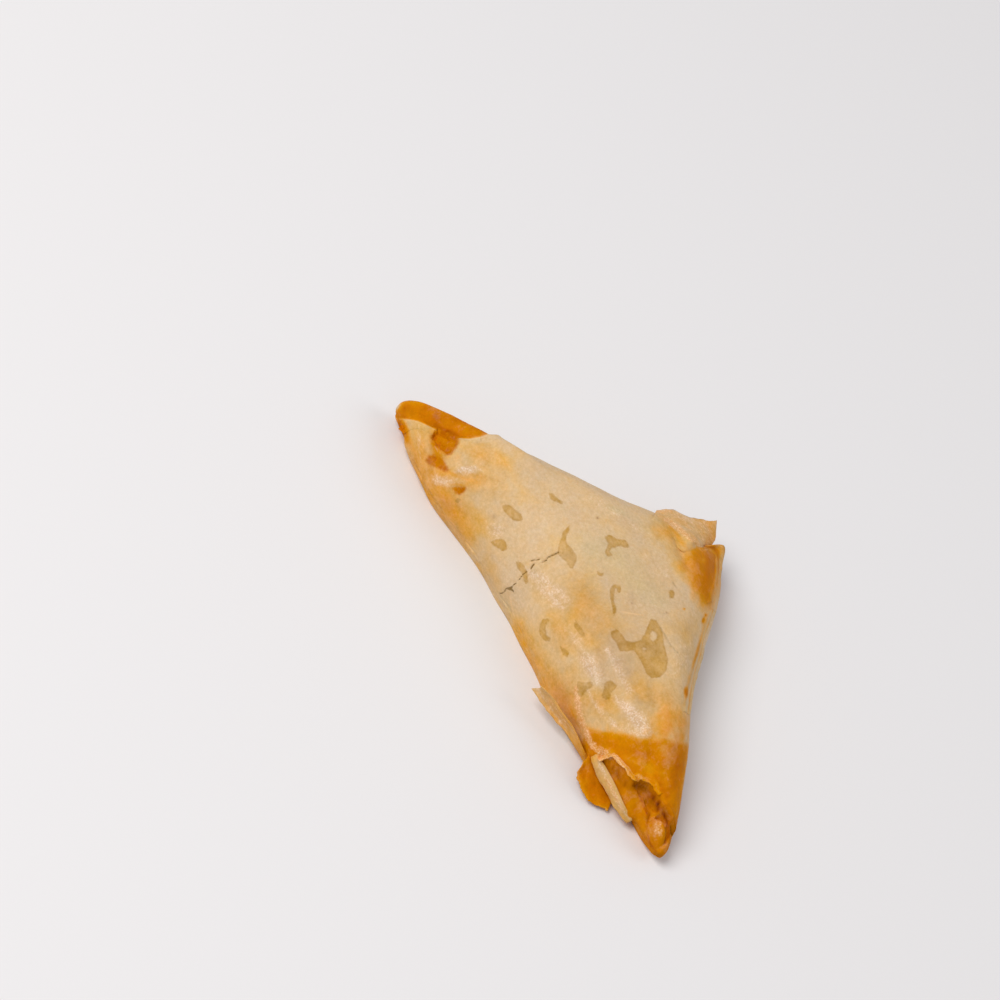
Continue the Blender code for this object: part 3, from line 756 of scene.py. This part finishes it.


# In the leaves' looks below, the lighter bands along ridges, rims and streaks are painted highlights.
loose = [
    sheet(
        "leaf_b",
        [
            on_crust((650, 521, -0.3), (662, 531, -0.3), (674, 543, -0.3), (687, 553, -0.3), (705, 553, -0.5)),
            on_crust((652, 518, 0.1), (664, 526, 0.25), (676, 537, 0.3), (688, 549, 0.3), (707, 551, 0.1)),
            on_crust((654, 515.5, 0.3), (667, 521, 0.6), (680, 533, 0.7), (692, 544, 0.6), (709, 548.5, 0.3)),
            placed((655, 513, 16.4), (668.5, 517.5, 15.8), (682, 528, 16.6), (694, 540, 17.6), (711, 545.5, 10.4)),
            placed((656, 511.5, 14.4), (671, 511.5, 13.6), (688, 520, 13.4), (704, 530, 12.8), (715, 538, 9.4)),
            placed((656.5, 510.5, 12.8), (672, 509.5, 12.2), (687, 516.5, 11.8), (701, 519.5, 11.2), (716.5, 521, 10.2)),
        ],
        thick=0.16, ragged=0.12, seed=11, crumple=0.10, across=28, root=0.22,
        # The flap is lightened all over and along its ridge by painted highlight; the stroke in its valley is painted
        # shade.
        looks=lambda t, s, p: {
            "gold": 0.38 + 0.22 * noise3(s * 6, t * 3, 0, 1.0, 2) + 0.3 * step(s - 0.80, 0.1), "brown": 0.01 + 0.05 * noise3(s * 9, t * 4, 0, 1.0, 3) + 0.26 * stroke(*seen(p), FLAP_VALLEY_SHADE_UV, 3.5) + 0.16 * stroke(*seen(p), [(694, 544), (704, 543), (714, 544)], 2.5),
            "ridge_highlight": 0.44 + 1.1 * stroke(*seen(p), FLAP_RIDGE_UV, 1.9) + 0.35 * stroke(*seen(p), [(657, 512), (666, 511), (672, 511.5)], 1.2),
            "painted_sheen": 0.10 + 0.25 * stroke(*seen(p), [(676, 515), (694, 522), (706, 530)], 5.0),
        },
    ),
    sheet(
        "leaf_tip",
        [
            on_crust((697, 551, -0.2), (706, 556, -0.2), (710, 570, -0.2), (709, 588, -0.2), (706, 604, -0.2)),
            on_crust((702, 548.5, 0.1), (714, 551, 0.15), (716, 566, 0.15), (714, 585, 0.15), (711, 602, 0.1)),
            placed((704, 546.5, 14.6), (719.5, 547.5, 10.4), (719, 565, 11.2), (717.5, 584, 12.9), (714.5, 602, 13.3)),
            placed((707, 545, 13.6), (724, 546, 9.4), (722.5, 562, 9.8), (720, 582, 11.6), (716.8, 601, 12.2)),
        ],
        thick=0.14, ragged=0.10, seed=71, crumple=0.06, across=20, root=0.45,
        looks=lambda t, s, p: {"gold": 0.55, "brown": 0.40 - 0.22 * s - 0.16 * step(t - 0.84, 0.1) + 0.30 * bell(t, 0.70, 0.05) * step(0.75 - s, 0.2) + 0.05 * noise3(s * 12, t * 4, 0, 1.0, 9), "ridge_highlight": 0.4 * bell(t, 0.9, 0.06)},
    ),
    sheet(
        "lip_side",
        [
            on_crust((706, 608, -0.2), (702, 622, -0.2), (698, 638, -0.2), (694, 652, -0.2), (690, 666, -0.2), (686.5, 680, -0.2), (683, 696, -0.2), (682, 712, -0.2)),
            on_crust((711, 610, 0.10), (706, 624, 0.12), (702, 640, 0.12), (698, 655, 0.12), (693.5, 668, 0.12), (690, 681, 0.12), (686.5, 696, 0.12), (685, 712, 0.05)),
            on_crust((714, 611, 0.10), (708.5, 625, 0.20), (703, 639.5, 0.20), (701, 655, 0.20), (696.5, 670, 0.20), (692.5, 685, 0.20), (690, 700, 0.15), (688.5, 715, 0.05)),
            placed((716, 611.5, 12.3), (711, 625.5, 12.7), (705, 640, 13.2), (703.2, 655.5, 12.2), (698.6, 670.5, 12.6), (694.6, 685.5, 13.1), (692, 700.5, 13.9), (690, 715, 14.3)),
        ],
        thick=0.14, ragged=0.22, seed=81, crumple=0.08, across=20, count=110, root=0.40,
        looks=lambda t, s, p: {"gold": 0.35, "brown": 0.04 + 0.22 * bell(t, 0.58, 0.07) + 0.06 * noise3(s * 14, t * 4, 0, 1.0, 12), "painted_sheen": 0.40 * bell(t, 0.85, 0.14)},
    ),
    sheet(
        "leaf_side",
        [
            placed((541, 686, 8.5), (553, 698, 8.0), (562, 712, 7.5), (573, 727, 6.8), (583, 748, 5.0), (591, 763, 2.2)),
            placed((540, 688, 6.0), (551, 701, 6.3), (561, 715, 6.0), (572, 731, 4.9), (581, 751, 3.8), (589, 764, 1.9)),
            placed((535, 688, 4.8), (545, 701, 4.6), (557, 716, 4.0), (568, 732, 3.4), (579, 751, 2.7), (587, 765, 1.6)),
            placed((532, 688.5, 4.2), (542, 704.5, 3.9), (554.5, 720, 3.4), (566.5, 734, 2.9), (578, 751.5, 2.2), (585.5, 766, 1.3)),
        ],
        ragged=0.10, seed=21, crumple=0.07,
        looks=lambda t, s, p: {"gold": 0.45 + 0.5 * s, "brown": 0.26 * step(s - 0.60, 0.3) + 0.02 + 0.06 * noise3(s * 14, t * 3, 0, 1.0, 5), "painted_sheen": 0.5 * bell(t, 0.75, 0.2) * (1 - step(s - 0.6, 0.2)), "green": 0.3 * bell(t, 0.9, 0.2) * (1 - s), "ridge_highlight": 0.8 * bell(t, 0.35, 0.10) * step(s - 0.15, 0.1) * step(0.62 - s, 0.1)},
    ),
    sheet(
        "leaf_c_dark",
        [
            placed((589, 755, 4.8), (594, 766, 3.6), (599, 779, 2.8), (605, 791, 2.0), (611.5, 802, 1.4)),
            placed((587, 758, 4.4), (589, 769, 2.9), (593, 781, 2.3), (599, 794, 1.8), (609.5, 806, 1.2)),
            placed((585, 760, 3.8), (583.5, 771, 2.4), (586.5, 785, 1.9), (594, 799, 1.4), (608.5, 809, 1.1)),
            placed((583, 762, 3.4), (577, 775.5, 2.1), (582, 789, 1.7), (589, 800.5, 1.3), (607.5, 811, 1.0)),
        ],
        ragged=0.16, seed=31, crumple=0.12,
        looks=lambda t, s, p: {"gold": 0.8, "brown": 0.51 + 0.12 * noise3(s * 8, t * 3, 0, 1.0, 7) + 0.12 * (1 - t) - 0.16 * step(s - 0.82, 0.1) - 0.10 * step(t - 0.85, 0.1) - 0.1 * step(0.12 - s, 0.1)},
    ),
    sheet(
        "leaf_c_pale",
        [
            placed((596, 750, 5.6)) + clear((600, 758, 6.4), (607.5, 770, 6.4), (616, 786, 5.4), (623.5, 803, 4.0), (632.5, 820, 2.4)),
            placed((593, 750, 5.0)) + clear((597.5, 759, 5.8), (603.5, 771, 5.8), (612.5, 788, 4.8), (621, 805, 3.6), (631, 821, 2.2), gap=0.45),
            placed((591, 751, 4.4)) + clear((594.5, 760, 5.2), (600, 773, 5.0), (610, 791, 4.0), (618.5, 808, 2.9), (629.5, 822, 1.9), gap=0.5),
            placed((589, 752, 3.8)) + clear((592, 761, 4.6), (597, 776, 3.8), (608.5, 796, 2.8), (616.5, 811, 2.0), (627, 823, 1.5), gap=0.5),
        ],
        ragged=0.08, seed=41, crumple=0.16,
        looks=lambda t, s, p: {"gold": 0.45, "brown": 0.0 + 0.06 * step(t - 0.60, 0.3) + 0.08 * step(s - 0.85, 0.2) + 0.12 * step(0.22 - s, 0.1), "green": 0.4 * bell(t, 0.8, 0.2), "painted_sheen": 0.60 * bell(t, 0.3, 0.2) * step(s - 0.2, 0.1), "ridge_highlight": 0.75 * bell(t, 0.35, 0.2) * step(0.85 - s, 0.15) * step(s - 0.35, 0.2)},
    ),
]


def lip(name, line, reach, rise, start, stop, seed, looks):
    """The edge of a sheet that overhangs the step below it."""
    p = smooth_line([(x, y, 0.0) for x, y in line], 400)[int(start * 399): int(stop * 399) + 1]
    tangent = np.gradient(p[:, :2], axis=0)
    tangent /= np.maximum(np.linalg.norm(tangent, axis=1, keepdims=True), 1e-9)
    side = np.stack([tangent[:, 1], -tangent[:, 0]], 1) * (1 if reach > 0 else -1)
    pts = []
    z_edge = height(p[:, 0] - side[:, 0] * 0.55, p[:, 1] - side[:, 1] * 0.55)
    run = np.linspace(0.0, 1.0, len(p))
    ends = np.clip(np.minimum(run / 0.10, (1.0 - run) / 0.30), 0.1, 1.0) ** 0.6
    for off, dz in ((-1.2, -0.12), (-0.6, 0.02), (-0.1, rise), (0.45 * abs(reach) + 0.1, rise * 1.1), (abs(reach), rise * 0.55)):
        out = off * (ends if off > 0 else 1.0)
        x, y = p[:, 0] + side[:, 0] * out, p[:, 1] + side[:, 1] * out
        z = np.minimum(height(x, y) if off < -0.2 else z_edge, z_edge + 0.6) + dz * (ends if dz > 0 else 1.0)
        pts.append(np.stack([x, y, z], 1)[:: max(1, len(p) // 40)])
    return sheet(name, pts, thick=0.16, across=14, count=150, crumple=0.06, ragged=0.18, seed=seed, looks=looks, root=0.15)


loose.append(lip("lip_c", TORN, 0.55, 0.25, 0.16, 0.72, 51, lambda t, s, p: {
    "gold": 0.8, "brown": 0.26 + 0.12 * step(s - 0.60, 0.2) + 0.10 * noise3(s * 20, t * 3, 0, 1.0, 14), "ridge_highlight": (0.30 + 0.60 * step(0.54 - s, 0.16)) * step(t - 0.25, 0.2) + 0.25 * noise3(s * 24, 0, 0, 1.0, 15), "painted_sheen": 0.0,
}))
loose.append(lip("hem_a", HEM, -0.35, 0.15, 0.10, 0.93, 61, None))


# ----------------------------------------------------------------------------- materials
def srgb(r, g, b):
    def f(c):
        c /= 255.0
        return c / 12.92 if c <= 0.04045 else ((c + 0.055) / 1.055) ** 2.4
    return (f(r), f(g), f(b), 1.0)


class Nodes:
    def __init__(self, name):
        self.material = bpy.data.materials.new(name)
        self.material.use_nodes = True
        self.tree = self.material.node_tree
        self.shader = self.tree.nodes["Principled BSDF"]

    def add(self, kind, **values):
        node = self.tree.nodes.new(kind)
        for key, value in values.items():
            setattr(node, key, value)
        return node

    def link(self, a, b):
        self.tree.links.new(a, b)

    def put(self, socket, value):
        if isinstance(value, bpy.types.NodeSocket):
            self.link(value, socket)
        else:
            socket.default_value = value

    def math(self, op, a, b=0.0, c=None, clamp=False):
        node = self.add("ShaderNodeMath", operation=op, use_clamp=clamp)
        self.put(node.inputs[0], a)
        self.put(node.inputs[1], b)
        if c is not None:
            self.put(node.inputs[2], c)
        return node.outputs[0]

    def mix(self, share, a, b, blend="MIX"):
        node = self.add("ShaderNodeMix", data_type="RGBA", blend_type=blend, clamp_factor=True)
        self.put(node.inputs["Factor"], share)
        self.put(node.inputs[6], a)
        self.put(node.inputs[7], b)
        return node.outputs[2]

    def attribute(self, name):
        return self.add("ShaderNodeAttribute", attribute_name=name, attribute_type="GEOMETRY").outputs["Fac"]

    def noise(self, scale, detail=3.0, rough=0.55, vector=None, distortion=0.0):
        node = self.add("ShaderNodeTexNoise")
        node.inputs["Scale"].default_value = scale
        node.inputs["Detail"].default_value = detail
        node.inputs["Roughness"].default_value = rough
        node.inputs["Distortion"].default_value = distortion
        if vector is not None:
            self.link(vector, node.inputs["Vector"])
        return node.outputs["Fac"]

    def range(self, value, low, high, to_low=0.0, to_high=1.0, smooth=True):
        node = self.add("ShaderNodeMapRange", clamp=True)
        node.interpolation_type = "SMOOTHSTEP" if smooth else "LINEAR"
        self.put(node.inputs["Value"], value)
        for key, v in (("From Min", low), ("From Max", high), ("To Min", to_low), ("To Max", to_high)):
            node.inputs[key].default_value = v
        return node.outputs["Result"]

    def ramp(self, value, stops):
        node = self.add("ShaderNodeValToRGB")
        self.put(node.inputs["Fac"], value)
        while len(node.color_ramp.elements) < len(stops):
            node.color_ramp.elements.new(0.5)
        for element, (place, colour) in zip(node.color_ramp.elements, stops):
            element.position, element.color = place, colour
        return node.outputs["Color"]


def filo():
    n = Nodes("filo")
    coords = n.add("ShaderNodeTexCoord").outputs["Object"]
    big = n.noise(150.0, 4.0, 0.6, coords)
    medium = n.noise(420.0, 4.0, 0.6, coords)
    small = n.noise(1500.0, 4.0, 0.6, coords)
    grain = n.noise(2900.0, 2.0, 0.5, coords)
    shifted = lambda value, source, amount: n.math("ADD", value, n.math("MULTIPLY", n.math("SUBTRACT", source, 0.5), amount))

    colour = n.mix(n.range(medium, 0.35, 0.65), srgb(220, 190, 151), srgb(210, 176, 131))
    colour = n.mix(n.range(shifted(n.attribute("green"), big, 0.5), 0.1, 0.9, 0.0, 0.85), colour, srgb(205, 181, 137))
    gold = shifted(shifted(n.attribute("gold"), big, 0.26), medium, 0.26)
    colour = n.mix(n.range(gold, 0.02, 0.50, 0.0, 0.90), colour, srgb(213, 171, 108))
    colour = n.mix(n.range(gold, 0.28, 0.95), colour, srgb(219, 152, 56))
    # Painted highlight: glare and sheen, lighter where the fine grain sparkles.
    glare = shifted(shifted(n.attribute("painted_sheen"), medium, 0.8), small, 0.5)
    painted_sheen = n.range(glare, 0.15, 0.95, 0.0, 0.80)
    sparkle = n.range(grain, 0.40, 0.70)
    colour = n.mix(painted_sheen, colour, n.mix(sparkle, srgb(221, 184, 146), srgb(242, 219, 194)))
    brown = shifted(shifted(shifted(n.attribute("brown"), medium, 0.16), big, 0.10), small, 0.10)
    toast = n.ramp(brown, [
        (0.0, srgb(222, 176, 112)), (0.22, srgb(219, 156, 70)), (0.42, srgb(208, 130, 22)), (0.62, srgb(194, 111, 5)), (0.80, srgb(166, 84, 2)), (1.0, srgb(112, 48, 2)),
    ])
    colour = n.mix(n.range(brown, 0.04, 0.30), colour, toast)
    # Painted highlights along ridges and rims, broken up by the noise.
    ridge_highlight = n.math("MULTIPLY", n.attribute("ridge_highlight"), shifted(shifted(1.0, small, 1.6), medium, 1.0))
    ridge_highlight = n.range(ridge_highlight, 0.15, 0.90, 0.0, 0.80)
    colour = n.mix(ridge_highlight, colour, n.mix(sparkle, srgb(222, 160, 96), srgb(243, 200, 152)))
    butter = n.range(shifted(n.attribute("butter"), small, 0.50), -0.24, 0.24, 1.0, 0.0)
    rim = n.math("MULTIPLY", n.range(n.attribute("butter"), -0.5, 0.0), n.range(n.attribute("butter"), 0.0, 0.16, 1.0, 0.0))
    colour = n.mix(n.math("MULTIPLY", butter, 0.76), colour, n.mix(n.range(medium, 0.35, 0.65), srgb(184, 140, 66), srgb(198, 154, 84)))
    colour = n.mix(n.math("MULTIPLY", rim, 0.30), colour, srgb(166, 124, 54))
    # Painted highlight lines.
    line_highlight = n.range(shifted(n.attribute("highlight_line"), small, 0.4), 0.0, 0.40, 0.65, 0.0)
    colour = n.mix(line_highlight, colour, srgb(242, 200, 150))
    dark = n.range(shifted(shifted(n.attribute("dark"), medium, 0.5), small, 0.3), -0.50, 0.36, 0.92, 0.0)
    colour = n.mix(dark, colour, n.mix(n.range(medium, 0.4, 0.6), srgb(204, 122, 2), srgb(180, 94, 1)))
    # Painted shadow lines in the creases.
    crease_shadow = n.range(n.attribute("crease_shadow"), 0.0, 0.30, 0.5, 0.0)
    colour = n.mix(crease_shadow, colour, srgb(150, 128, 92))
    crack = n.range(n.attribute("crack"), 0.05, 0.19, 0.85, 0.0)
    colour = n.mix(crack, colour, srgb(122, 92, 34))
    # Painted shade, multiplied in; it also carries random tone and the dark specks.
    colour = n.mix(n.range(n.attribute("painted_shade_and_specks"), -0.9, 0.0, 0.80, 0.0, smooth=False), colour, srgb(132, 84, 40), "MULTIPLY")
    mottle = n.add("ShaderNodeHueSaturation")
    wave = n.math("ADD", n.math("MULTIPLY", n.math("SUBTRACT", medium, 0.5), 0.46), n.math("MULTIPLY", n.math("SUBTRACT", small, 0.5), 0.34))
    wave = n.math("ADD", wave, n.math("MULTIPLY", n.math("SUBTRACT", grain, 0.5), 0.15))
    wave = n.math("ADD", wave, n.math("MULTIPLY", n.math("SUBTRACT", big, 0.5), 0.16))
    n.link(n.math("ADD", wave, 1.0), mottle.inputs["Value"])
    n.link(n.math("SUBTRACT", n.range(big, 0.25, 0.75, 0.90, 1.14, smooth=False), n.math("MULTIPLY", wave, 0.6)), mottle.inputs["Saturation"])
    n.link(colour, mottle.inputs["Color"])
    n.link(mottle.outputs["Color"], n.shader.inputs["Base Color"])

    rough = n.range(medium, 0.3, 0.7, 0.44, 0.58)
    rough = n.math("SUBTRACT", rough, n.math("MULTIPLY", butter, 0.10))
    matte = n.range(n.math("MAXIMUM", brown, dark), 0.1, 0.4)
    gloss = n.math("MULTIPLY", painted_sheen, n.math("SUBTRACT", 1.0, matte))
    rough = n.math("SUBTRACT", rough, n.math("MULTIPLY", gloss, 0.18))
    n.link(rough, n.shader.inputs["Roughness"])
    shine = n.math("ADD", 0.14, n.math("MULTIPLY", gloss, 0.30))
    shine = n.math("ADD", shine, n.math("MULTIPLY", ridge_highlight, 0.25))
    shine = n.math("SUBTRACT", shine, n.math("MULTIPLY", matte, 0.12))
    n.link(shine, n.shader.inputs["Specular IOR Level"])
    n.shader.inputs["Subsurface Weight"].default_value = 0.08
    n.shader.inputs["Subsurface Radius"].default_value = (1.0, 0.6, 0.3)
    n.shader.inputs["Subsurface Scale"].default_value = 0.0010

    bump = n.add("ShaderNodeBump")
    bump.inputs["Strength"].default_value = 0.5
    bump.inputs["Distance"].default_value = 0.00022
    relief = n.math("ADD", n.math("MULTIPLY", medium, 1.2), n.math("ADD", n.math("MULTIPLY", small, 0.55), n.math("MULTIPLY", grain, 0.20)))
    relief = n.math("SUBTRACT", relief, n.math("MULTIPLY", crack, 1.2))
    n.link(relief, bump.inputs["Height"])
    n.link(bump.outputs["Normal"], n.shader.inputs["Normal"])
    return n.material


FILO = filo()
for obj in [crust, *loose]:
    obj.data.materials.append(FILO)

# ----------------------------------------------------------------------------- floor and light
floor_mesh = bpy.data.meshes.new("floor")
floor_mesh.from_pydata([(-3, -3, 0), (3, -3, 0), (3, 3, 0), (-3, 3, 0)], [], [(0, 1, 2, 3)])
floor = bpy.data.objects.new("floor", floor_mesh)
bpy.context.scene.collection.objects.link(floor)
cover = Nodes("floor_white")
cover.shader.inputs["Roughness"].default_value = 0.6
cover.shader.inputs["Specular IOR Level"].default_value = 0.2
cover.link(cover.mix(cover.range(cover.noise(1.5, 2.0), 0.3, 0.7), srgb(232, 230, 231), srgb(230, 227, 227)), cover.shader.inputs["Base Color"])
floor_mesh.materials.append(cover.material)

world = bpy.data.worlds.new("world")
bpy.context.scene.world = world
world.use_nodes = True
world.node_tree.nodes["Background"].inputs["Color"].default_value = (0.97, 0.975, 1.0, 1.0)
world.node_tree.nodes["Background"].inputs["Strength"].default_value = 0.42


def area_light(name, towards, distance, size, power, colour=(1.0, 1.0, 1.0)):
    light = bpy.data.lights.new(name, "AREA")
    light.shape, light.size, light.energy, light.color = "DISK", size, power, colour
    obj = bpy.data.objects.new(name, light)
    direction = Vector(towards).normalized()
    obj.location = direction * distance
    obj.rotation_mode = "QUATERNION"
    obj.rotation_quaternion = direction.to_track_quat("Z", "Y")
    bpy.context.scene.collection.objects.link(obj)
    return obj


area_light("key", (-0.30, -0.50, 0.81), 1.2, 0.75, 10.0, (1.0, 0.99, 0.97))
area_light("fill", (0.50, 0.50, 0.70), 1.4, 0.8, 2.8)

bpy.context.scene.view_settings.view_transform = "Standard"
bpy.context.scene.view_settings.look = "None"
bpy.context.scene.view_settings.exposure = 0.0
bpy.context.scene.view_settings.gamma = 1.0
